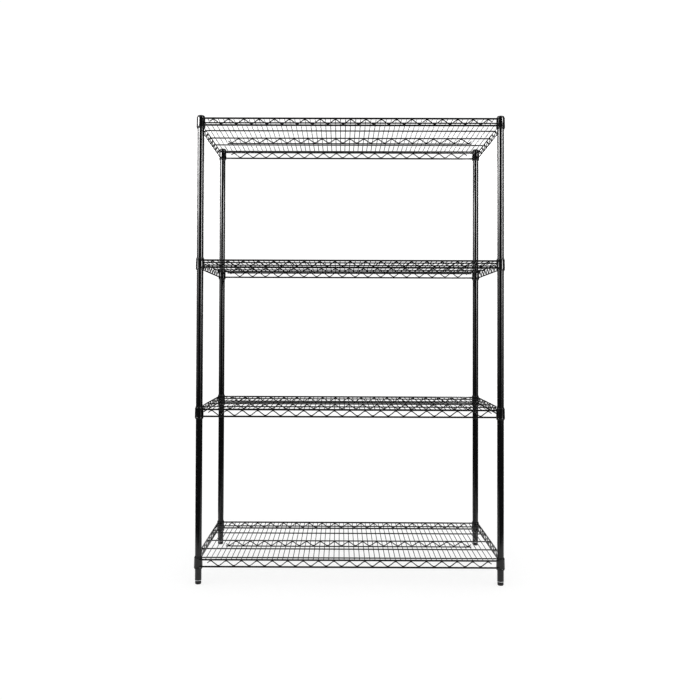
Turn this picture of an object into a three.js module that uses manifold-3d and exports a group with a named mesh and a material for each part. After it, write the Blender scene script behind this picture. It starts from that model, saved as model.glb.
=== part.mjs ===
// Wire shelving rack: four welded wire shelves clamped at inch marks of four grooved tubular posts.
//
// Each shelf is a frame, a deck and a centre truss. The frame has four tapered corner collars, joined
// along each side by a truss of two rim wires and a zigzag wire, and four plain long wires. The deck is
// a row of thin wires from front to back, lying on the long wires. The centre truss runs under its
// middle. Each collar wedges down over a split sleeve: two plastic half shells whose inner bead sits in
// a groove of the post. A plug caps each post, and a threaded insert in its lower end takes the stud of
// a levelling foot.
//
// Millimetres, +Z up, X along the shelves, Y front to back with the front at -Y.
// The origin is on the floor under the middle of the rack.

import * as THREE from "three";
import { mergeVertices } from "three/addons/utils/BufferGeometryUtils.js";
import Module from "manifold-3d";

const wasm = await Module();
wasm.setup();

// ---------------------------------------------------------------- driving dimensions

const INCH = 25.4;
const POST_SPACING_X = 46.5 * INCH;
const POST_SPACING_Y = 22.5 * INCH;
const SHELF_INCH_MARKS = { bottom: 3, lower: 26, upper: 49, top: 71 };

const ROUND_SIDES = 12;
const GAP = 0.3; // left between two pieces that touch

const POST_BOTTOM = 16;
const POST_LENGTH = 1819;
const POST_RADIUS = INCH / 2;
const POST_WALL = 1.5;
const GROOVE_DEPTH = 0.7;
const GROOVE_HALF_WIDTH = 1.3;

const CAP_RADIUS = POST_RADIUS + 0.2;
const CAP_HEIGHT = 3;
const CAP_STEM = 14;

const SLEEVE_LENGTH = 48;
const SLEEVE_TOP_RADIUS = 14.5;
const SLEEVE_BOTTOM_RADIUS = 15.5;
const BEAD_HEIGHT = 8.7; // of a sleeve's bead above the middle of the sleeve
const COLLAR_LENGTH = 38.8;
const COLLAR_WALL = 1.5;

const TRUSS_HEIGHT = 27; // between the centres of an upper and a lower rim wire
const RIM_OFFSET = INCH / 2; // a rim wire runs this far outside the line of post centres
const RIM_WIRE = 5.2; // each wire is a square bar with about the section area of its round wire
const LONG_WIRE = 4.4;
const DECK_WIRE = 2.5;
const ZIGZAG_WIRE = 3;

const DECK_WIRE_PITCH = 20.1;
const DECK_WIRE_COUNT = 59;
const LONG_WIRE_PITCH = 125;
const PLAIN_LONG_WIRES = [-2, -1, 1, 2]; // in pitches from the middle, where the centre truss is
const LONG_WIRE_BITE = 0.25; // the long wires are let into the underside of the end rim wires

const ZIGZAG_PITCH = 60;
const ZIGZAG_RISE = 17.6;
const ZIGZAG_TAIL = 13; // the wire runs on this far past its last bend
const ZIGZAG_BITE = 0.8; // its end bends reach this much further, into the wires they are welded to
const LONG_SIDE_PEAKS = 19;
const SHORT_SIDE_PEAKS = 9;

const CENTRE_PEAKS = 17;
const CENTRE_TRUSS_HEIGHT = 23.4;
const CENTRE_ZIGZAG_RISE = 15;
const CENTRE_OVERHANG = 14; // of its lower wire past the last trough

const FOOT_RADIUS = 11.8;
const FOOT_PAD_HEIGHT = 11;
const STUD_RADIUS = 5;
const STUD_TOP = 40;
const INSERT_BOTTOM = 13.5;
const INSERT_TOP = 45;

// ---------------------------------------------------------------- materials

const epoxy = new THREE.MeshStandardMaterial({ color: 0x0b0b0c, roughness: 0.3, metalness: 0.0 });
const nylon = new THREE.MeshStandardMaterial({ color: 0x121213, roughness: 0.5, metalness: 0.0 });
const zinc = new THREE.MeshStandardMaterial({ color: 0x9a9c9e, roughness: 0.38, metalness: 1.0 });

// ---------------------------------------------------------------- geometry helpers

function solidFrom(geometry) {
  const bare = geometry.index ? geometry.toNonIndexed() : geometry.clone();
  bare.deleteAttribute("normal");
  bare.deleteAttribute("uv");
  const merged = mergeVertices(bare, 1e-4);
  const mesh = new wasm.Mesh({
    numProp: 3,
    vertProperties: merged.attributes.position.array,
    triVerts: new Uint32Array(merged.index.array),
  });
  return new wasm.Manifold(mesh);
}

function geometryFrom(solid) {
  const mesh = solid.getMesh();
  const geometry = new THREE.BufferGeometry();
  geometry.setAttribute("position", new THREE.BufferAttribute(mesh.vertProperties, 3));
  geometry.setIndex(new THREE.BufferAttribute(mesh.triVerts, 1));
  geometry.computeVertexNormals();
  return geometry;
}

function joined(geometries) {
  return geometries.map(solidFrom).reduce((sum, solid) => sum.add(solid));
}

// A solid of revolution about Z. The profile is a list of [radius, z], its outer side going up.
function turned(profile) {
  const points = profile.map(([radius, z]) => new THREE.Vector2(radius, z));
  return new THREE.LatheGeometry(points, ROUND_SIDES).rotateX(Math.PI / 2);
}

function box(sizeX, sizeY, sizeZ, x, y, z) {
  return new THREE.BoxGeometry(sizeX, sizeY, sizeZ).translate(x, y, z);
}

// ---------------------------------------------------------------- post and what it carries

// The tube, from z = 0, with the grooves that hold the sleeves.
function postGeometry() {
  const inside = POST_RADIUS - POST_WALL;
  const grooves = Object.values(SHELF_INCH_MARKS).flatMap((mark) => [
    [POST_RADIUS, mark * INCH - GROOVE_HALF_WIDTH],
    [POST_RADIUS - GROOVE_DEPTH, mark * INCH],
    [POST_RADIUS, mark * INCH + GROOVE_HALF_WIDTH],
  ]);
  return turned([
    [inside, 0],
    [POST_RADIUS, 0],
    ...grooves,
    [POST_RADIUS, POST_LENGTH],
    [inside, POST_LENGTH],
    [inside, 0],
  ]);
}

// A plug with a low domed head, from the top end of the post at z = 0.
function capGeometry() {
  const stem = POST_RADIUS - POST_WALL - GAP;
  return turned([
    [0, -CAP_STEM],
    [stem, -CAP_STEM],
    [stem, GAP],
    [CAP_RADIUS, GAP],
    [CAP_RADIUS, 0.45 * CAP_HEIGHT],
    [0.85 * CAP_RADIUS, 0.85 * CAP_HEIGHT],
    [0, CAP_HEIGHT],
  ]);
}

// A flanged bush pressed into the lower end of the post, from the floor at z = 0.
function insertGeometry() {
  const bore = STUD_RADIUS + GAP;
  const body = POST_RADIUS - POST_WALL - GAP;
  return turned([
    [bore, INSERT_BOTTOM],
    [POST_RADIUS, INSERT_BOTTOM],
    [POST_RADIUS, POST_BOTTOM - GAP],
    [body, POST_BOTTOM - GAP],
    [body, INSERT_TOP],
    [bore, INSERT_TOP],
    [bore, INSERT_BOTTOM],
  ]);
}

// A round pad moulded on a threaded stud, standing on the floor at z = 0.
function footGeometry() {
  return turned([
    [0, 0],
    [0.87 * FOOT_RADIUS, 0],
    [FOOT_RADIUS, 0.15 * FOOT_PAD_HEIGHT],
    [FOOT_RADIUS, 0.87 * FOOT_PAD_HEIGHT],
    [0.9 * FOOT_RADIUS, FOOT_PAD_HEIGHT],
    [STUD_RADIUS, FOOT_PAD_HEIGHT],
    [STUD_RADIUS, STUD_TOP],
    [0, STUD_TOP],
  ]);
}

// ---------------------------------------------------------------- split sleeve

// The outer radius of a sleeve at height z from its middle. It is widest at the bottom.
function sleeveRadius(z) {
  const share = (z + SLEEVE_LENGTH / 2) / SLEEVE_LENGTH;
  return SLEEVE_BOTTOM_RADIUS + share * (SLEEVE_TOP_RADIUS - SLEEVE_BOTTOM_RADIUS);
}

// One half shell about the middle of the sleeve, on the +Y or the -Y side of the split.
function sleeveHalfGeometry(side) {
  const end = SLEEVE_LENGTH / 2;
  const inside = POST_RADIUS + GAP;
  const beadHalfWidth = 1;
  const sleeve = turned([
    [inside, -end],
    [sleeveRadius(-end), -end],
    [sleeveRadius(end), end],
    [inside, end],
    [inside, BEAD_HEIGHT + beadHalfWidth],
    [inside - GROOVE_DEPTH, BEAD_HEIGHT],
    [inside, BEAD_HEIGHT - beadHalfWidth],
    [inside, -end],
  ]);
  const reach = 2 * SLEEVE_BOTTOM_RADIUS;
  const keep = box(2 * reach, reach, 2 * SLEEVE_LENGTH, 0, (side * (reach + GAP)) / 2, 0);
  return geometryFrom(solidFrom(sleeve).intersect(solidFrom(keep)));
}

// ---------------------------------------------------------------- shelf
// Drawn about the middle of its side trusses, at z = 0.

const UPPER_RIM = TRUSS_HEIGHT / 2;
const LONG_RIM_Y = POST_SPACING_Y / 2 + RIM_OFFSET;
const SHORT_RIM_X = POST_SPACING_X / 2 + RIM_OFFSET;
const LONG_WIRE_Z = UPPER_RIM - RIM_WIRE / 2 + LONG_WIRE_BITE - LONG_WIRE / 2;
const DECK_WIRE_Z = LONG_WIRE_Z + LONG_WIRE / 2 + GAP + DECK_WIRE / 2;

function cornerSigns() {
  return [-1, 1].flatMap((signY) => [-1, 1].map((signX) => [signX, signY]));
}

// A tapered plug at a corner. Its radius follows the sleeve's, larger by the given amount.
function cornerPlug(signX, signY, length, extraRadius) {
  const end = length / 2;
  const plug = turned([
    [0, -end],
    [sleeveRadius(-end) + extraRadius, -end],
    [sleeveRadius(end) + extraRadius, end],
    [0, end],
  ]);
  return plug.translate((signX * POST_SPACING_X) / 2, (signY * POST_SPACING_Y) / 2, 0);
}

function collarBlanks() {
  const extraRadius = GAP + COLLAR_WALL;
  return cornerSigns().map(([signX, signY]) => cornerPlug(signX, signY, COLLAR_LENGTH, extraRadius));
}

// Longer than the collars, so that they cut clean through.
function collarBores() {
  return cornerSigns().map(([signX, signY]) => cornerPlug(signX, signY, SLEEVE_LENGTH, GAP));
}

// Rim wires run between collar centres, and the bores then trim their ends.
function rimWires() {
  return [UPPER_RIM, -UPPER_RIM].flatMap((z) =>
    [-1, 1].flatMap((side) => [
      box(POST_SPACING_X, RIM_WIRE, RIM_WIRE, 0, side * LONG_RIM_Y, z),
      box(RIM_WIRE, POST_SPACING_Y, RIM_WIRE, side * SHORT_RIM_X, 0, z),
    ]),
  );
}

// A zigzag wire along X in the XZ plane. Its last bends are peaks, or with endsInTroughs the troughs
// outside them. The last peaks and troughs bite into the wires above and below.
function zigzagGeometry(peaks, rise, endsInTroughs) {
  const half = ZIGZAG_PITCH / 2;
  const slope = rise / half;
  const last = endsInTroughs ? peaks : peaks - 1;
  const bend = (i) => {
    const sign = (i + peaks - 1) % 2 === 0 ? 1 : -1;
    const bite = Math.abs(i) >= last - 1 ? ZIGZAG_BITE : 0;
    return [i * half, sign * (rise / 2 + bite)];
  };
  const bends = Array.from({ length: 2 * last + 1 }, (_, i) => bend(i - last));
  const tailX = last * half + ZIGZAG_TAIL;
  const tailZ = (endsInTroughs ? -1 : 1) * (rise / 2 - slope * ZIGZAG_TAIL);
  const centreLine = [[-tailX, tailZ], ...bends, [tailX, tailZ]];
  const thickness = (ZIGZAG_WIRE / 2) * Math.hypot(1, slope);
  const over = centreLine.map(([x, z]) => new THREE.Vector2(x, z + thickness));
  const under = centreLine.map(([x, z]) => new THREE.Vector2(x, z - thickness));
  const outline = new THREE.Shape([...under, ...over.reverse()]);
  const wire = new THREE.ExtrudeGeometry(outline, { depth: ZIGZAG_WIRE, bevelEnabled: false });
  return wire.translate(0, 0, -ZIGZAG_WIRE / 2).rotateX(Math.PI / 2);
}

function sideZigzags() {
  return [-1, 1].flatMap((side) => [
    zigzagGeometry(LONG_SIDE_PEAKS, ZIGZAG_RISE, false).translate(0, side * LONG_RIM_Y, 0),
    zigzagGeometry(SHORT_SIDE_PEAKS, ZIGZAG_RISE, false)
      .rotateZ(Math.PI / 2)
      .translate(side * SHORT_RIM_X, 0, 0),
  ]);
}

function plainLongWires() {
  return PLAIN_LONG_WIRES.map((pitches) =>
    box(2 * SHORT_RIM_X, LONG_WIRE, LONG_WIRE, 0, pitches * LONG_WIRE_PITCH, LONG_WIRE_Z),
  );
}

function deckWireX(index) {
  return (index - (DECK_WIRE_COUNT - 1) / 2) * DECK_WIRE_PITCH;
}

// The first and the last deck wire run into the collars, so they belong to the frame.
function endDeckWires() {
  return [0, DECK_WIRE_COUNT - 1].map((index) =>
    box(DECK_WIRE, POST_SPACING_Y, DECK_WIRE, deckWireX(index), 0, DECK_WIRE_Z),
  );
}

function frameGeometry() {
  const wires = [...rimWires(), ...sideZigzags(), ...plainLongWires(), ...endDeckWires()];
  const blank = joined([...wires, ...collarBlanks()]);
  return geometryFrom(blank.subtract(joined(collarBores())));
}

// The other deck wires, tied into one piece by a strip along the front and the rear rim: a slab, less
// the slots between the wires.
function deckGeometry() {
  const sizeY = 2 * (LONG_RIM_Y - RIM_WIRE / 2 - GAP);
  const sizeX = 2 * deckWireX(DECK_WIRE_COUNT - 2) + DECK_WIRE;
  const slab = box(sizeX, sizeY, DECK_WIRE, 0, 0, DECK_WIRE_Z);
  const slots = Array.from({ length: DECK_WIRE_COUNT - 3 }, (_, i) => {
    const x = (deckWireX(i + 1) + deckWireX(i + 2)) / 2;
    const slotX = DECK_WIRE_PITCH - DECK_WIRE;
    return box(slotX, sizeY - 2 * DECK_WIRE, 2 * DECK_WIRE, x, 0, DECK_WIRE_Z);
  });
  return geometryFrom(solidFrom(slab).subtract(joined(slots)));
}

// The middle long wire, with a shorter wire under it and a zigzag wire between them.
function centreTrussGeometry() {
  const upperLength = 2 * (SHORT_RIM_X - RIM_WIRE / 2 - GAP);
  const lowerLength = CENTRE_PEAKS * ZIGZAG_PITCH + 2 * CENTRE_OVERHANG;
  const lowerZ = LONG_WIRE_Z - CENTRE_TRUSS_HEIGHT;
  const zigzag = zigzagGeometry(CENTRE_PEAKS, CENTRE_ZIGZAG_RISE, true);
  const truss = joined([
    box(upperLength, LONG_WIRE, LONG_WIRE, 0, 0, LONG_WIRE_Z),
    box(lowerLength, LONG_WIRE, LONG_WIRE, 0, 0, lowerZ),
    zigzag.translate(0, 0, (LONG_WIRE_Z + lowerZ) / 2),
  ]);
  return geometryFrom(truss);
}

// ---------------------------------------------------------------- the rack

const rack = new THREE.Group();

function place(parent, name, geometry, material, z) {
  const mesh = new THREE.Mesh(geometry, material);
  mesh.name = name;
  mesh.position.z = z;
  parent.add(mesh);
}

// The middle of a shelf, and of its sleeves, when the sleeves' beads are at an inch mark.
function shelfHeight(inchMark) {
  return POST_BOTTOM + inchMark * INCH - BEAD_HEIGHT;
}

const post = postGeometry();
const cap = capGeometry();
const insert = insertGeometry();
const foot = footGeometry();
const frontHalfSleeve = sleeveHalfGeometry(-1);
const rearHalfSleeve = sleeveHalfGeometry(1);

for (const [signX, signY] of cornerSigns()) {
  const corner = `${signY < 0 ? "front" : "rear"}_${signX < 0 ? "left" : "right"}`;
  const column = new THREE.Group();
  column.position.set((signX * POST_SPACING_X) / 2, (signY * POST_SPACING_Y) / 2, 0);
  place(column, `post_${corner}`, post, epoxy, POST_BOTTOM);
  place(column, `post_cap_${corner}`, cap, nylon, POST_BOTTOM + POST_LENGTH);
  place(column, `threaded_insert_${corner}`, insert, zinc, 0);
  place(column, `levelling_foot_${corner}`, foot, nylon, 0);
  for (const [shelf, mark] of Object.entries(SHELF_INCH_MARKS)) {
    const name = `${shelf}_sleeve_${corner}`;
    place(column, `${name}_front_half`, frontHalfSleeve, nylon, shelfHeight(mark));
    place(column, `${name}_rear_half`, rearHalfSleeve, nylon, shelfHeight(mark));
  }
  rack.add(column);
}

const frame = frameGeometry();
const deck = deckGeometry();
const centreTruss = centreTrussGeometry();

for (const [shelf, mark] of Object.entries(SHELF_INCH_MARKS)) {
  place(rack, `${shelf}_shelf_frame`, frame, epoxy, shelfHeight(mark));
  place(rack, `${shelf}_shelf_deck`, deck, epoxy, shelfHeight(mark));
  place(rack, `${shelf}_shelf_centre_truss`, centreTruss, epoxy, shelfHeight(mark));
}

export default rack;
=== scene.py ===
"""Wire shelving rack: the looks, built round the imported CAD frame. Metres, +Z up, front at -Y."""

import math

import bpy
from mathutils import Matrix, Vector


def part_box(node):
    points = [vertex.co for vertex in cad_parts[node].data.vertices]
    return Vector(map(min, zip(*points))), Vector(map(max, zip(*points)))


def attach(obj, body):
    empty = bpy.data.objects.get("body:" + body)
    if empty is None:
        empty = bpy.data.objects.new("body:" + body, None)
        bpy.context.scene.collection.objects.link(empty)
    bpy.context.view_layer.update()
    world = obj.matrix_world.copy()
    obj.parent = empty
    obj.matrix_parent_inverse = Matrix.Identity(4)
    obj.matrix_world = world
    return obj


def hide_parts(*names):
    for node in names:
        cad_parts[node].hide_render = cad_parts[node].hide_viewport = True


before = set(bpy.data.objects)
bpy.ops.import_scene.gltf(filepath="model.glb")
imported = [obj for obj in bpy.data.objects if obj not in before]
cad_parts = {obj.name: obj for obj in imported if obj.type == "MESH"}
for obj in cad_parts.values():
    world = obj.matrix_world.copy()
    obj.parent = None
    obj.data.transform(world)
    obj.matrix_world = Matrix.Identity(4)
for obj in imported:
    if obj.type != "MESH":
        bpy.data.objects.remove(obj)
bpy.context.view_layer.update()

MM = 0.001
CORNERS = ("front_left", "front_right", "rear_left", "rear_right")
SHELVES = ("bottom", "lower", "upper", "top")

# ---------------------------------------------------------------- sizes

INCH = 25.4 * MM
POST_WALL = 1.5 * MM
POST_EDGE = 0.35 * MM  # bevel at a post's ends
GROOVE_DEPTH = 0.45 * MM
GROOVE_HALF_WIDTH = 0.9 * MM
GROOVE_WALL = 0.12 * MM  # how much height a groove's steep wall takes up

CAP_STEM_GAP = 0.3 * MM  # between a cap's stem and the tube
CAP_RIM = 0.3 * MM  # height of a cap's rim above the end of its post
CAP_RIM_BEVEL = 0.2 * MM
CAP_STEM_TAPER = (0.8 * MM, 2 * MM)  # how much narrower the stem's tip is, and how tall that stretch is
CAP_SHOULDER = 0.4  # share of the crown's height where the dome begins
DOME_STEPS = 8

INSERT_GAP = 0.3 * MM  # between an insert and the tube
INSERT_FLANGE_GAP = 0.2 * MM  # between its flange and the post
INSERT_ROUNDING = 0.4 * MM
THREAD_GAP = 0.25 * MM  # between the stud and the insert's bore

PAD_GAP = 2.5 * MM  # between a pad and the insert above it
PAD_FOOT = 0.86  # radius of a pad's underside as a share of its widest radius
PAD_TAPER_HEIGHT = 0.2  # share of a pad's height that tapers
PAD_ROUNDING = 1.1 * MM
STUD_DEPTH_IN_PAD = 3 * MM

COLLAR_WALL = 1.5 * MM
COLLAR_LIP = 0.45 * MM  # how far the rolled ends of a collar stand proud of its cone
COLLAR_LIP_HEIGHT = 2.2 * MM
COLLAR_LIP_STRAIGHT = 0.6  # share of a lip's height that is upright
COLLAR_ROUNDING = 0.5 * MM
COLLAR_GAP = 0.3 * MM  # between a collar's bore and the sleeve
SLEEVE_TOP_RADIUS = 14.5 * MM
SLEEVE_BOTTOM_RADIUS = 15.5 * MM
SLEEVE_BORE = 13.0 * MM
SLEEVE_HALF_LENGTH = 24 * MM
SLEEVE_SPLIT = 0.3 * MM
SLEEVE_BEVEL = 0.5 * MM
BEAD_HEIGHT = 8.7 * MM
BEAD_REACH = 0.65 * MM
BEAD_ROOT = MM  # half the bead's height where it leaves the bore
BEAD_CREST = 0.3 * MM  # half its height at the crest

TRUSS_HEIGHT = 27 * MM
RIM_OFFSET = INCH / 2
RIM_RADIUS = INCH / 8
LONG_RADIUS = 2.4 * MM
DECK_RADIUS = 1.4 * MM
ZIGZAG_RADIUS = 1.85 * MM
WELD_BITE = 0.4 * MM  # how far two welded wires sink into each other
WELD_HALF_LENGTH = 3.2 * MM
WELD_HALF_HEIGHT = 0.9 * MM
WELD_HALF_WIDTH = 1.2 * MM

DECK_PITCH = 20.1 * MM
DECK_COUNT = 59
LONG_PITCH = 125 * MM
PLAIN_LONG_WIRES = (-2, -1, 1, 2)  # in pitches from the middle, where the centre truss runs

ZIGZAG_PITCH = 60 * MM
ZIGZAG_TAIL = 13 * MM
ZIGZAG_BEND = 9 * MM  # a bend starts this far before its corner
BEND_STEPS = 5
LONG_SIDE_PEAKS = 19
SHORT_SIDE_PEAKS = 9
CENTRE_PEAKS = 17
CENTRE_TRUSS_HEIGHT = 23.4 * MM
CENTRE_OVERHANG = 14 * MM
RISE_ROUNDS = 4  # how often a zigzag's rise is worked out, each time from the last

THREAD_PITCH = INCH / 16
THREAD_DEPTH = 0.75 * MM
STUD_RADIUS = 5 * MM

ROUND = 56  # sides of anything turned
WIRE_SIDES = 14
THIN_WIRE_SIDES = 10
STUD_SIDES = 24
STEPS_PER_TURN = 6  # rings in one turn of the thread

SHARP_ANGLE = math.radians(38)  # edges steeper than this stay sharp
CURVE_SHARE = 0.45  # the most of an edge that one rounded corner may use
MITRE_LIMIT = 0.7  # a wire's joint is never stretched by more than 1 / this
NOISE_ROUGHNESS = 0.55

# ---------------------------------------------------------------- mesh building


class Form:
    """The vertices and faces of one mesh, gathered from several closed shapes."""

    def __init__(self):
        self.points = []
        self.faces = []

    def add(self, points, faces):
        first = len(self.points)
        self.points.extend(points)
        self.faces.extend(tuple(first + i for i in face) for face in faces)

    def rings(self, rings, looped=False):
        """Joins rings of equally many points. looped joins the last to the first, else both ends close."""
        sides = len(rings[0])
        points = [point for ring in rings for point in ring]
        faces = []
        count = len(rings) if looped else len(rings) - 1
        for k in range(count):
            here = k * sides
            there = ((k + 1) % len(rings)) * sides
            for i in range(sides):
                j = (i + 1) % sides
                faces.append((here + i, here + j, there + j, there + i))
        if not looped:
            last = (len(rings) - 1) * sides
            faces.append(tuple(reversed(range(sides))))
            faces.append(tuple(range(last, last + sides)))
        self.add(points, faces)

    def to_object(self, name):
        mesh = bpy.data.meshes.new(name)
        mesh.from_pydata([tuple(p) for p in self.points], [], self.faces)
        mesh.validate()
        mesh.update()
        mesh.shade_smooth()
        mesh.set_sharp_from_angle(angle=SHARP_ANGLE)
        piece = bpy.data.objects.new(name, mesh)
        bpy.context.scene.collection.objects.link(piece)
        return piece


def rounded(points, reach, steps=4, closed=False):
    """The points with a curve in place of each corner, reach long on either side where edges allow."""
    points = [Vector(p) for p in points]
    count = len(points)
    made = []
    for i, corner in enumerate(points):
        if not closed and i in (0, count - 1):
            made.append(corner)
            continue
        before = points[i - 1] - corner
        after = points[(i + 1) % count] - corner
        start = corner + before.normalized() * min(reach, CURVE_SHARE * before.length)
        end = corner + after.normalized() * min(reach, CURVE_SHARE * after.length)
        for k in range(steps + 1):
            t = k / steps
            made.append((1 - t) ** 2 * start + 2 * t * (1 - t) * corner + t ** 2 * end)
    return made


def on_circle(centre, radius, angle, height):
    """The point at a height, this far from the upright axis through centre."""
    return (centre.x + radius * math.cos(angle), centre.y + radius * math.sin(angle), height)


def turned(form, profile, centre):
    """Adds a solid of revolution about the upright axis through centre.
    The profile is (radius, height) points: a closed loop, outer side going up, or from axis to axis."""
    on_axis = profile[0][0] == 0
    middle = profile[1:-1] if on_axis else profile
    rings = []
    for radius, height in middle:
        angles = (2 * math.pi * k / ROUND for k in range(ROUND))
        rings.append([on_circle(centre, radius, angle, centre.z + height) for angle in angles])
    form.rings(rings, looped=not on_axis)


def wire(form, path, radius, sides=WIRE_SIDES):
    """Adds a round wire along a path, cut square at both ends."""
    path = [Vector(p) for p in path]
    side_way = (path[-1] - path[0]).cross(Vector((0, 0, 1))).normalized()
    rings = []
    for i, here in enumerate(path):
        into = (here - path[max(i - 1, 0)]).normalized() if i else Vector()
        out = (path[min(i + 1, len(path) - 1)] - here).normalized() if i < len(path) - 1 else Vector()
        along = (into + out).normalized()
        up = side_way.cross(along).normalized()
        stretch = 1 / max(along.dot(out if i == 0 else into), MITRE_LIMIT)
        ring = []
        for k in range(sides):
            angle = 2 * math.pi * k / sides
            ring.append(here + radius * (math.cos(angle) * side_way + math.sin(angle) * stretch * up))
        rings.append(ring)
    form.rings(rings)


def nugget(form, centre, half_size, sides=8, levels=4):
    """Adds a small blob of weld metal."""
    centre = Vector(centre)
    rings = []
    for k in range(1, levels + 1):
        tilt = math.pi * k / (levels + 1)
        ring = []
        for i in range(sides):
            turn = 2 * math.pi * i / sides
            offset = (
                half_size[0] * math.sin(tilt) * math.cos(turn),
                half_size[1] * math.sin(tilt) * math.sin(turn),
                -half_size[2] * math.cos(tilt),
            )
            ring.append(centre + Vector(offset))
        rings.append(ring)
    form.rings(rings)


# ---------------------------------------------------------------- materials


class Finish:
    """A node material with one Principled shader and object coordinates."""

    def __init__(self, name, **sockets):
        self.material = bpy.data.materials.new(name)
        self.material.use_nodes = True
        self.tree = self.material.node_tree
        self.shader = self.tree.nodes["Principled BSDF"]
        self.coordinates = self.tree.nodes.new("ShaderNodeTexCoord").outputs["Object"]
        for socket, value in sockets.items():
            self.shader.inputs[socket.replace("_", " ")].default_value = value

    def noise(self, scale, detail=3.0, stretch=(1, 1, 1)):
        mapping = self.tree.nodes.new("ShaderNodeMapping")
        mapping.inputs["Scale"].default_value = stretch
        node = self.tree.nodes.new("ShaderNodeTexNoise")
        node.inputs["Scale"].default_value = scale
        node.inputs["Detail"].default_value = detail
        node.inputs["Roughness"].default_value = NOISE_ROUGHNESS
        self.tree.links.new(self.coordinates, mapping.inputs["Vector"])
        self.tree.links.new(mapping.outputs["Vector"], node.inputs["Vector"])
        return node.outputs["Fac"]

    def spread(self, source, low, high, from_low=0.3, from_high=0.7):
        """Stretches a source's useful range, which for noise is 0.3 to 0.7, to low and high."""
        node = self.tree.nodes.new("ShaderNodeMapRange")
        node.inputs["From Min"].default_value = from_low
        node.inputs["From Max"].default_value = from_high
        node.inputs["To Min"].default_value = low
        node.inputs["To Max"].default_value = high
        self.tree.links.new(source, node.inputs["Value"])
        return node.outputs["Result"]

    def blend(self, share, dark, light):
        """Mixes two colours, each a tuple or the output of a node."""
        node = self.tree.nodes.new("ShaderNodeMix")
        node.data_type = "RGBA"
        self.tree.links.new(share, node.inputs["Factor"])
        for socket, colour in (("A", dark), ("B", light)):
            target = next(s for s in node.inputs if s.name == socket and s.type == "RGBA")
            if isinstance(colour, tuple):
                target.default_value = (*colour, 1)
            else:
                self.tree.links.new(colour, target)
        return next(s for s in node.outputs if s.type == "RGBA")

    def facing_up(self):
        """1 where the surface faces up, falling to 0 where it is steep."""
        geometry = self.tree.nodes.new("ShaderNodeNewGeometry")
        split = self.tree.nodes.new("ShaderNodeSeparateXYZ")
        self.tree.links.new(geometry.outputs["Normal"], split.inputs["Vector"])
        return self.spread(split.outputs["Z"], 0, 1, 0.35, 1)

    def colour(self, source):
        self.tree.links.new(source, self.shader.inputs["Base Color"])

    def roughness(self, source):
        self.tree.links.new(source, self.shader.inputs["Roughness"])

    def bumps(self, *layers):
        """Each layer is (source, strength, depth in metres)."""
        normal = None
        for source, strength, depth in layers:
            node = self.tree.nodes.new("ShaderNodeBump")
            node.inputs["Strength"].default_value = strength
            node.inputs["Distance"].default_value = depth
            self.tree.links.new(source, node.inputs["Height"])
            if normal is not None:
                self.tree.links.new(normal, node.inputs["Normal"])
            normal = node.outputs["Normal"]
        self.tree.links.new(normal, self.shader.inputs["Normal"])


def black_epoxy(name, peel_scale):
    """Gloss black epoxy coat: orange peel, a faint mottle, a film of dust on what faces up."""
    finish = Finish(name, IOR=1.5, Coat_Weight=0.35, Coat_Roughness=0.07)
    mottle = finish.noise(180)
    body = finish.blend(finish.spread(mottle, 0, 1), (0.006, 0.006, 0.0063), (0.011, 0.011, 0.0112))
    dust = finish.spread(finish.noise(60, 5), 0, 0.5)
    settled = finish.tree.nodes.new("ShaderNodeMath")
    settled.operation = "MULTIPLY"
    finish.tree.links.new(dust, settled.inputs[0])
    finish.tree.links.new(finish.facing_up(), settled.inputs[1])
    finish.colour(finish.blend(settled.outputs[0], body, (0.022, 0.022, 0.021)))
    finish.roughness(finish.spread(finish.noise(45, 4), 0.11, 0.18))
    peel = finish.noise(peel_scale, 2)
    drift = finish.noise(peel_scale / 6, 2)
    finish.bumps((drift, 0.12, 0.06 * MM), (peel, 0.15, 0.012 * MM))
    return finish.material


def black_nylon():
    """Moulded black nylon: satin, fine spark-eroded grain, slight flow marks along its height."""
    finish = Finish("black_nylon", IOR=1.53)
    flow = finish.noise(90, 3, stretch=(1, 1, 0.25))
    finish.colour(finish.blend(finish.spread(flow, 0, 1), (0.008, 0.008, 0.0085), (0.018, 0.018, 0.0185)))
    finish.roughness(finish.spread(finish.noise(240, 3), 0.38, 0.55))
    finish.bumps((finish.noise(2600, 2), 0.35, 0.03 * MM))
    return finish.material


def zinc_plate():
    """Dulled zinc plating: cloudy colour, fine turning marks round the axis."""
    finish = Finish("zinc_plate", Metallic=0.55)
    cloud = finish.noise(220, 4)
    finish.colour(finish.blend(finish.spread(cloud, 0, 1), (0.46, 0.47, 0.49), (0.74, 0.75, 0.76)))
    finish.roughness(finish.spread(finish.noise(500, 3), 0.24, 0.4))
    finish.bumps((finish.noise(350, 2, stretch=(1, 1, 12)), 0.3, 0.03 * MM))
    return finish.material


POST_COAT = black_epoxy("black_epoxy_post", 650)
WIRE_COAT = black_epoxy("black_epoxy_wire", 1100)
NYLON = black_nylon()
ZINC = zinc_plate()


def finish_piece(form, name, body, material, node=None):
    """Makes the object, on its body, in place of the CAD node if there is one."""
    piece = form.to_object(name)
    piece.data.materials.append(material)
    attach(piece, body)
    if node:
        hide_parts(node)


# ---------------------------------------------------------------- posts, caps, inserts, feet


def axis_at(node, height):
    """The point on a turned node's upright axis at a height."""
    low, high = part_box(node)
    return Vector(((low.x + high.x) / 2, (low.y + high.y) / 2, height))


def half_width(node):
    low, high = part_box(node)
    return (high.x - low.x) / 2


def groove(radius, height):
    """A rolled groove with steep walls and a flat floor, as profile points going up."""
    root = radius - GROOVE_DEPTH
    half = GROOVE_HALF_WIDTH
    floor = half - GROOVE_WALL
    return [
        (radius, height - half), (root, height - floor),
        (root, height + floor), (radius, height + half),
    ]


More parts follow.
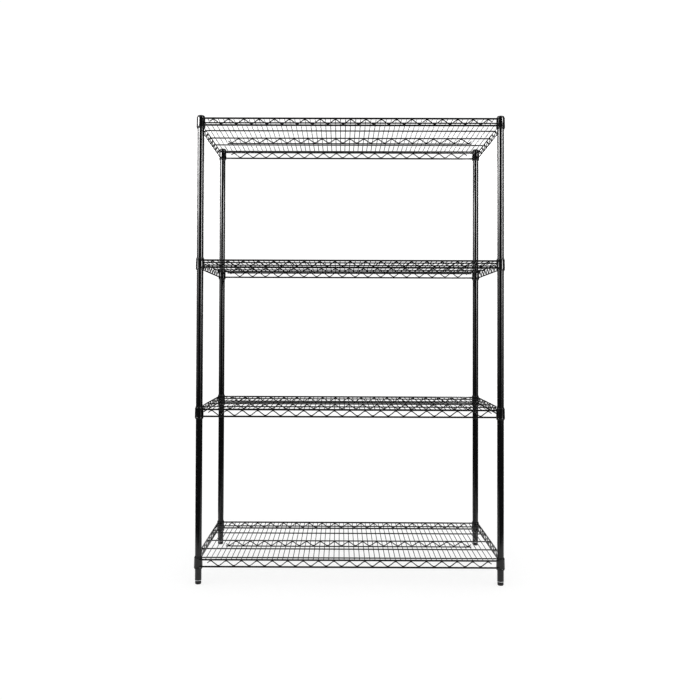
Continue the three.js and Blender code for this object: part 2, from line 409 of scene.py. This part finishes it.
def make_post(corner):
    node = f"post_{corner}"
    low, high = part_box(node)
    length = high.z - low.z
    radius = half_width(node)
    inside = radius - POST_WALL
    edge = POST_EDGE
    profile = [(inside, edge), (inside + edge, 0), (radius - edge, 0), (radius, edge)]
    for mark in range(1, math.floor(length / INCH) + 1):
        profile += groove(radius, mark * INCH)
    profile += [(radius, length - edge), (radius - edge, length)]
    profile += [(inside + edge, length), (inside, length - edge)]
    form = Form()
    turned(form, profile, axis_at(node, low.z))
    finish_piece(form, f"grooved_post_{corner}", "posts", POST_COAT, node)


def make_cap(corner):
    node = f"post_cap_{corner}"
    low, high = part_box(node)
    post_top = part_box(f"post_{corner}")[1].z
    radius = half_width(node)
    stem = half_width(f"post_{corner}") - POST_WALL - CAP_STEM_GAP
    narrower, taper_height = CAP_STEM_TAPER
    depth = post_top - low.z
    crown = high.z - post_top
    shoulder = CAP_SHOULDER * crown
    profile = [(0, -depth), (stem - narrower, -depth), (stem, taper_height - depth), (stem, CAP_RIM)]
    profile += [(radius - CAP_RIM_BEVEL, CAP_RIM), (radius, CAP_RIM + CAP_RIM_BEVEL)]
    for k in range(DOME_STEPS, 0, -1):
        angle = math.pi / 2 * k / DOME_STEPS
        profile.append((radius * math.sin(angle), shoulder + (crown - shoulder) * math.cos(angle)))
    profile.append((0, crown))
    form = Form()
    turned(form, profile, axis_at(node, post_top))
    finish_piece(form, f"domed_cap_{corner}", "posts", NYLON, node)


def make_insert(corner):
    node = f"threaded_insert_{corner}"
    low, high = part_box(node)
    post_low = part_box(f"post_{corner}")[0].z
    flange = half_width(node)
    body = flange - POST_WALL - INSERT_GAP
    bore = STUD_RADIUS + THREAD_GAP
    top = high.z - low.z
    lip = post_low - low.z - INSERT_FLANGE_GAP
    corners = [(bore, 0), (flange, 0), (flange, lip), (body, lip), (body, top), (bore, top)]
    form = Form()
    turned(form, rounded(corners, INSERT_ROUNDING, steps=3, closed=True), axis_at(node, low.z))
    finish_piece(form, f"flanged_insert_{corner}", "posts", ZINC, node)


def add_thread(form, centre, bottom, top):
    """Adds a stud with a helical thread, its ends turned down to the root of the thread."""
    rings = []
    count = round((top - bottom) / THREAD_PITCH * STEPS_PER_TURN)
    for k in range(count + 1):
        height = bottom + (top - bottom) * k / count
        lead = min(height - bottom, top - height) / THREAD_PITCH
        ring = []
        for i in range(STUD_SIDES):
            phase = (height / THREAD_PITCH - i / STUD_SIDES) % 1
            crest = min(1 - abs(2 * phase - 1), lead / 2)
            radius = STUD_RADIUS - THREAD_DEPTH * (1 - crest)
            ring.append(on_circle(centre, radius, 2 * math.pi * i / STUD_SIDES, height))
        rings.append(ring)
    form.rings(rings)


def make_foot(corner):
    node = f"levelling_foot_{corner}"
    low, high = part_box(node)
    insert_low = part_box(f"threaded_insert_{corner}")[0].z
    radius = half_width(node)
    pad_top = insert_low - PAD_GAP
    centre = axis_at(node, low.z)
    outline = [(PAD_FOOT * radius, 0), (radius, PAD_TAPER_HEIGHT * pad_top)]
    outline += [(radius, pad_top), (STUD_RADIUS - MM, pad_top)]
    pad = Form()
    turned(pad, [(0, 0), *rounded(outline, PAD_ROUNDING), (0, pad_top)], centre)
    stud = Form()
    add_thread(stud, centre, pad_top - STUD_DEPTH_IN_PAD, high.z)
    finish_piece(pad, f"foot_pad_{corner}", node, NYLON, node)
    finish_piece(stud, f"foot_stud_{corner}", node, ZINC)


# ---------------------------------------------------------------- split sleeves


def sleeve_radius(height, half_length):
    """A sleeve's outer radius at a height from its middle."""
    share = (height + half_length) / (2 * half_length)
    return SLEEVE_BOTTOM_RADIUS + share * (SLEEVE_TOP_RADIUS - SLEEVE_BOTTOM_RADIUS)


def make_sleeve_half(shelf, corner, side):
    """A half shell with chamfered ends and an inner bead, and flat faces along the split."""
    node = f"{shelf}_sleeve_{corner}_{side}_half"
    low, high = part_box(node)
    half = (high.z - low.z) / 2
    centre = axis_at(f"post_{corner}", (low.z + high.z) / 2)
    foot, head = sleeve_radius(-half, half), sleeve_radius(half, half)
    crest = SLEEVE_BORE - BEAD_REACH
    bevel = SLEEVE_BEVEL
    outline = [
        (SLEEVE_BORE + bevel, -half), (foot - bevel, -half), (foot, bevel - half),
        (head, half - bevel), (head - bevel, half), (SLEEVE_BORE + bevel / 2, half),
        (SLEEVE_BORE, half - bevel), (SLEEVE_BORE, BEAD_HEIGHT + BEAD_ROOT),
        (crest, BEAD_HEIGHT + BEAD_CREST), (crest, BEAD_HEIGHT - BEAD_CREST),
        (SLEEVE_BORE, BEAD_HEIGHT - BEAD_ROOT), (SLEEVE_BORE, bevel - half),
    ]
    steps = ROUND // 2
    start = math.pi if side == "front" else 0
    rings = []
    for k in range(steps + 1):
        ring = []
        for radius, height in outline:
            trim = math.asin(SLEEVE_SPLIT / 2 / radius)
            angle = start + trim + (math.pi - 2 * trim) * k / steps
            ring.append(on_circle(centre, radius, angle, centre.z + height))
        rings.append(list(reversed(ring)))
    form = Form()
    form.rings(rings)
    finish_piece(form, f"sleeve_{shelf}_{corner}_{side}", "posts", NYLON, node)


# ---------------------------------------------------------------- shelves
# Each shelf is drawn about the middle of its side trusses, then set at its height.

POST_X = axis_at("post_front_right", 0).x
POST_Y = axis_at("post_rear_right", 0).y
RIM_X = POST_X + RIM_OFFSET
RIM_Y = POST_Y + RIM_OFFSET
RIM_Z = TRUSS_HEIGHT / 2  # of the upper rim wire, and the lower one is as far below the middle
LONG_Z = RIM_Z - RIM_RADIUS - LONG_RADIUS + WELD_BITE
DECK_Z = LONG_Z + LONG_RADIUS + DECK_RADIUS - WELD_BITE / 2
FRAME_LOW, FRAME_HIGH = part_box("bottom_shelf_frame")
COLLAR_HALF = (FRAME_HIGH.z - FRAME_LOW.z) / 2  # a frame is as tall as its collars


def shelf_middle(shelf):
    low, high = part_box(f"{shelf}_shelf_frame")
    return Vector((0, 0, (low.z + high.z) / 2))


def collar_radius(height):
    """A collar's outer radius at a height from its middle, where it wedges over its sleeve."""
    return sleeve_radius(height, SLEEVE_HALF_LENGTH) + COLLAR_GAP + COLLAR_WALL


def add_collar(form, x, y):
    """A tapered steel ring with slightly rolled lips."""
    half = COLLAR_HALF
    lip = COLLAR_LIP_HEIGHT
    straight = COLLAR_LIP_STRAIGHT * lip
    foot, head = collar_radius(-half), collar_radius(half)
    inner = [(collar_radius(z) - COLLAR_WALL, z) for z in (half, -half)]
    outer = [
        (foot, -half), (foot, straight - half), (foot - COLLAR_LIP, lip - half),
        (head - COLLAR_LIP, half - lip), (head, half - straight), (head, half),
    ]
    turned(form, rounded(outer + inner, COLLAR_ROUNDING, steps=3, closed=True), Vector((x, y, 0)))


def cope(end, offset, collar_place):
    """Where a wire that runs this far off a collar's axis meets the middle of the collar's wall.
    end is -1 or 1, for the wire's two ends."""
    wall = collar_radius(0) - COLLAR_WALL / 2
    reach = math.sqrt(max(wall ** 2 - offset ** 2, 0))
    return end * (collar_place - reach)


def add_rim(form, along_x, side, z):
    """A rim wire, its ends shaped to the round of the collars."""
    length, away = (POST_X, side * RIM_Y) if along_x else (POST_Y, side * RIM_X)
    rings = []
    for end in (-1, 1):
        ring = []
        for k in range(WIRE_SIDES):
            angle = 2 * math.pi * k / WIRE_SIDES
            cross = away + RIM_RADIUS * math.cos(angle)
            offset = abs(cross) - (POST_Y if along_x else POST_X)
            run = cope(end, offset, length)
            height = z + RIM_RADIUS * math.sin(angle)
            ring.append((run, cross, height) if along_x else (cross, run, height))
        rings.append(ring)
    if along_x:
        rings.reverse()
    form.rings(rings)


def zigzag_path(peaks, rise, ends_in_troughs):
    """The centre line of a zigzag wire, as (run, height) points with rounded bends."""
    half = ZIGZAG_PITCH / 2
    last = peaks if ends_in_troughs else peaks - 1
    corners = []
    for i in range(-last, last + 1):
        sign = 1 if (i + peaks - 1) % 2 == 0 else -1
        corners.append((i * half, sign * rise / 2))
    tail_x = last * half + ZIGZAG_TAIL
    tail_z = (-1 if ends_in_troughs else 1) * (rise / 2 - rise * ZIGZAG_TAIL / half)
    corners = [(-tail_x, tail_z), *corners, (tail_x, tail_z)]
    return rounded(corners, ZIGZAG_BEND, BEND_STEPS), corners[1:-1]


def add_zigzag(form, peaks, rise, ends_in_troughs, place):
    """Adds a zigzag wire and its welds. place turns (run, height) into a point."""
    path, bends = zigzag_path(peaks, rise, ends_in_troughs)
    wire(form, [place(run, height) for run, height in path], ZIGZAG_RADIUS, THIN_WIRE_SIDES)
    for run, height in bends:
        apex = height - math.copysign(cut_by_bend(rise), height)
        touch = apex + math.copysign(ZIGZAG_RADIUS, height)
        reach = place(WELD_HALF_LENGTH, WELD_HALF_HEIGHT) - place(0, 0)
        nugget(form, place(run, touch), [max(abs(v), WELD_HALF_WIDTH) for v in reach])


def cut_by_bend(rise):
    """How far the apex of a rounded bend falls short of its corner."""
    return 0.5 * ZIGZAG_BEND * math.sin(math.atan2(rise, ZIGZAG_PITCH / 2))


def bend_height(radius, gap):
    """The rise of a zigzag whose rounded bends are welded to the wires above and below them.
    The rise and what a bend cuts off depend on each other, so it is worked out in rounds."""
    touching = gap - 2 * (radius + ZIGZAG_RADIUS - WELD_BITE)
    rise = touching
    for _ in range(RISE_ROUNDS):
        rise = touching + 2 * cut_by_bend(rise)
    return rise


def make_frame(shelf):
    form = Form()
    for x in (-POST_X, POST_X):
        for y in (-POST_Y, POST_Y):
            add_collar(form, x, y)
    rise = bend_height(RIM_RADIUS, TRUSS_HEIGHT)
    for side in (-1, 1):
        for z in (-RIM_Z, RIM_Z):
            add_rim(form, True, side, z)
            add_rim(form, False, side, z)
        add_zigzag(form, LONG_SIDE_PEAKS, rise, False, lambda run, z: Vector((run, side * RIM_Y, z)))
        add_zigzag(form, SHORT_SIDE_PEAKS, rise, False, lambda run, z: Vector((side * RIM_X, run, z)))
    for pitches in PLAIN_LONG_WIRES:
        y = pitches * LONG_PITCH
        wire(form, [(-RIM_X, y, LONG_Z), (RIM_X, y, LONG_Z)], LONG_RADIUS)
    for end in (-1, 1):
        x = end * (DECK_COUNT - 1) / 2 * DECK_PITCH
        reach = cope(1, abs(POST_X - abs(x)), POST_Y)
        wire(form, [(x, -reach, DECK_Z), (x, reach, DECK_Z)], DECK_RADIUS, THIN_WIRE_SIDES)
    set_on_shelf(form, f"frame_of_{shelf}_shelf", shelf, f"{shelf}_shelf_frame")


def make_deck(shelf):
    form = Form()
    for i in range(1, DECK_COUNT - 1):
        x = (i - (DECK_COUNT - 1) / 2) * DECK_PITCH
        wire(form, [(x, -RIM_Y, DECK_Z), (x, RIM_Y, DECK_Z)], DECK_RADIUS, THIN_WIRE_SIDES)
    set_on_shelf(form, f"deck_wires_of_{shelf}_shelf", shelf, f"{shelf}_shelf_deck")


def make_centre_truss(shelf):
    form = Form()
    lower_z = LONG_Z - CENTRE_TRUSS_HEIGHT
    lower_half = CENTRE_PEAKS * ZIGZAG_PITCH / 2 + CENTRE_OVERHANG
    wire(form, [(-RIM_X, 0, LONG_Z), (RIM_X, 0, LONG_Z)], LONG_RADIUS)
    wire(form, [(-lower_half, 0, lower_z), (lower_half, 0, lower_z)], LONG_RADIUS)
    rise = bend_height(LONG_RADIUS, CENTRE_TRUSS_HEIGHT)
    middle = (LONG_Z + lower_z) / 2
    add_zigzag(form, CENTRE_PEAKS, rise, True, lambda run, z: Vector((run, 0, middle + z)))
    set_on_shelf(form, f"centre_truss_of_{shelf}_shelf", shelf, f"{shelf}_shelf_centre_truss")


def set_on_shelf(form, name, shelf, node):
    middle = shelf_middle(shelf)
    form.points = [Vector(p) + middle for p in form.points]
    finish_piece(form, name, f"{shelf}_shelf", WIRE_COAT, node)


# ---------------------------------------------------------------- stage

CAMERA_PLACE = (-0.0371, -3.359, 0.9931)
CAMERA_LENS = 40.24
CAMERA_SHIFT = (0.0178, -0.0464)
CAMERA_PITCH = 0.016
CAMERA_ROLL = 0.0035
CAMERA_YAW = 0.0039
CAMERA_CLIP = (0.05, 60)
VIEW_GAMMA = 0.8

ROOM_RADIANCE = 1.04  # for matt surfaces and the camera
GLOSS_RADIANCE = 0.015  # what gloss shows of the room

FLOOR_NEAR = (1.2, 0.85)  # half sizes
FLOOR_FAR = (14, 14)
FLOOR_GLOW = 0.8
FLOOR_SHADES = ((0.215, 0.215, 0.215), (0.225, 0.225, 0.225))

PANEL_HEIGHT = 0.32
# Name, bearing, distance, width, height of the lower edge, radiance of each panel from the lowest up.
SOFTBOXES = (
    ("left", -62, 3.4, 2.1, 0.56, (0.9, 1.4, 3, 6, 12, 19, 26)),
    ("right", 46, 3.9, 1.2, 0.24, (1.2, 3, 6, 11, 16, 18, 21, 24)),
    ("rear_left", -156, 4.0, 1.2, 0.56, (1, 2, 3, 5, 7, 8, 8)),
    ("rear_right", 158, 4.0, 0.9, 0.56, (1, 2, 3, 5, 7, 8, 8)),
)
CEILING_HEIGHT = 3.6
CEILING_SIZE = (2.6, 1.5)
CEILING_RADIANCE = 2.0


def make_camera():
    data = bpy.data.cameras.new("camera")
    data.lens = CAMERA_LENS
    data.shift_x, data.shift_y = CAMERA_SHIFT
    data.clip_start, data.clip_end = CAMERA_CLIP
    camera = bpy.data.objects.new("camera", data)
    camera.location = CAMERA_PLACE
    camera.rotation_euler = (math.pi / 2 + CAMERA_PITCH, -CAMERA_ROLL, CAMERA_YAW)
    bpy.context.scene.collection.objects.link(camera)
    bpy.context.scene.camera = camera


def make_floor():
    """A wide pale floor, lit a little from within so that the rack's shadow on it stays faint.
    Reflections see only the part close to the rack, as if black cards lay beyond it."""
    finish = Finish("pale_floor", Roughness=0.9, Specular_IOR_Level=0.0, Emission_Strength=FLOOR_GLOW)
    finish.shader.inputs["Emission Color"].default_value = (1, 1, 1, 1)
    tint = finish.spread(finish.noise(0.8, 2), 0, 1)
    finish.colour(finish.blend(tint, *FLOOR_SHADES))
    corners = []
    for x, y in (FLOOR_NEAR, FLOOR_FAR):
        corners += [(-x, -y, 0), (x, -y, 0), (x, y, 0), (-x, y, 0)]
    add_floor("floor_near", corners, [(0, 1, 2, 3)], finish.material)
    border = [(4, 5, 1, 0), (5, 6, 2, 1), (6, 7, 3, 2), (7, 4, 0, 3)]
    far = add_floor("floor_far", corners, border, finish.material)
    far.visible_glossy = False


def add_floor(name, corners, faces, material):
    """Makes the faces of the floor that one object holds."""
    mesh = bpy.data.meshes.new(name)
    mesh.from_pydata(corners, [], faces)
    mesh.materials.append(material)
    floor = bpy.data.objects.new(name, mesh)
    bpy.context.scene.collection.objects.link(floor)
    return floor


def make_world():
    """White to the eye, an even white room to matt surfaces, and nearly black in gloss."""
    world = bpy.data.worlds.new("studio")
    bpy.context.scene.world = world
    world.use_nodes = True
    nodes, links = world.node_tree.nodes, world.node_tree.links
    room = nodes["Background"]
    room.inputs["Color"].default_value = (1, 1, 1, 1)
    room.inputs["Strength"].default_value = ROOM_RADIANCE
    glossy = nodes.new("ShaderNodeBackground")
    glossy.inputs["Color"].default_value = (1, 1, 1, 1)
    glossy.inputs["Strength"].default_value = GLOSS_RADIANCE
    path = nodes.new("ShaderNodeLightPath")
    by_gloss = nodes.new("ShaderNodeMixShader")
    links.new(path.outputs["Is Glossy Ray"], by_gloss.inputs["Fac"])
    links.new(room.outputs[0], by_gloss.inputs[1])
    links.new(glossy.outputs[0], by_gloss.inputs[2])
    links.new(by_gloss.outputs[0], nodes["World Output"].inputs["Surface"])


def add_panel(name, place, turn, size, radiance):
    """A rectangular light panel. Only gloss shows it: the floor is lit by the room."""
    data = bpy.data.lights.new(name, "AREA")
    data.shape = "RECTANGLE"
    data.size, data.size_y = size
    data.energy = radiance * math.pi * size[0] * size[1]
    light = bpy.data.objects.new(name, data)
    light.location = place
    light.rotation_euler = turn
    light.visible_diffuse = False
    light.visible_camera = False
    bpy.context.scene.collection.objects.link(light)


def make_lights():
    """Tall softboxes, built up of panels that are brighter the higher they are, and one overhead panel.
    A softbox faces the rack. Its bearing is in degrees from straight ahead (-Y) towards +X."""
    for side, bearing, distance, width, base, radiances in SOFTBOXES:
        turn = math.radians(bearing)
        for level, radiance in enumerate(radiances):
            middle = base + (level + 0.5) * PANEL_HEIGHT
            place = (distance * math.sin(turn), -distance * math.cos(turn), middle)
            add_panel(f"{side}_{level}", place, (math.pi / 2, 0, turn), (width, PANEL_HEIGHT), radiance)
    add_panel("ceiling", (0, 0, CEILING_HEIGHT), (0, 0, 0), CEILING_SIZE, CEILING_RADIANCE)


# ---------------------------------------------------------------- the whole

make_camera()
make_world()
make_floor()
make_lights()
bpy.context.scene.view_settings.view_transform = "Standard"
bpy.context.scene.view_settings.gamma = VIEW_GAMMA

for corner_name in CORNERS:
    make_post(corner_name)
    make_cap(corner_name)
    make_insert(corner_name)
    make_foot(corner_name)
    for shelf_name in SHELVES:
        make_sleeve_half(shelf_name, corner_name, "front")
        make_sleeve_half(shelf_name, corner_name, "rear")
for shelf_name in SHELVES:
    make_frame(shelf_name)
    make_deck(shelf_name)
    make_centre_truss(shelf_name)
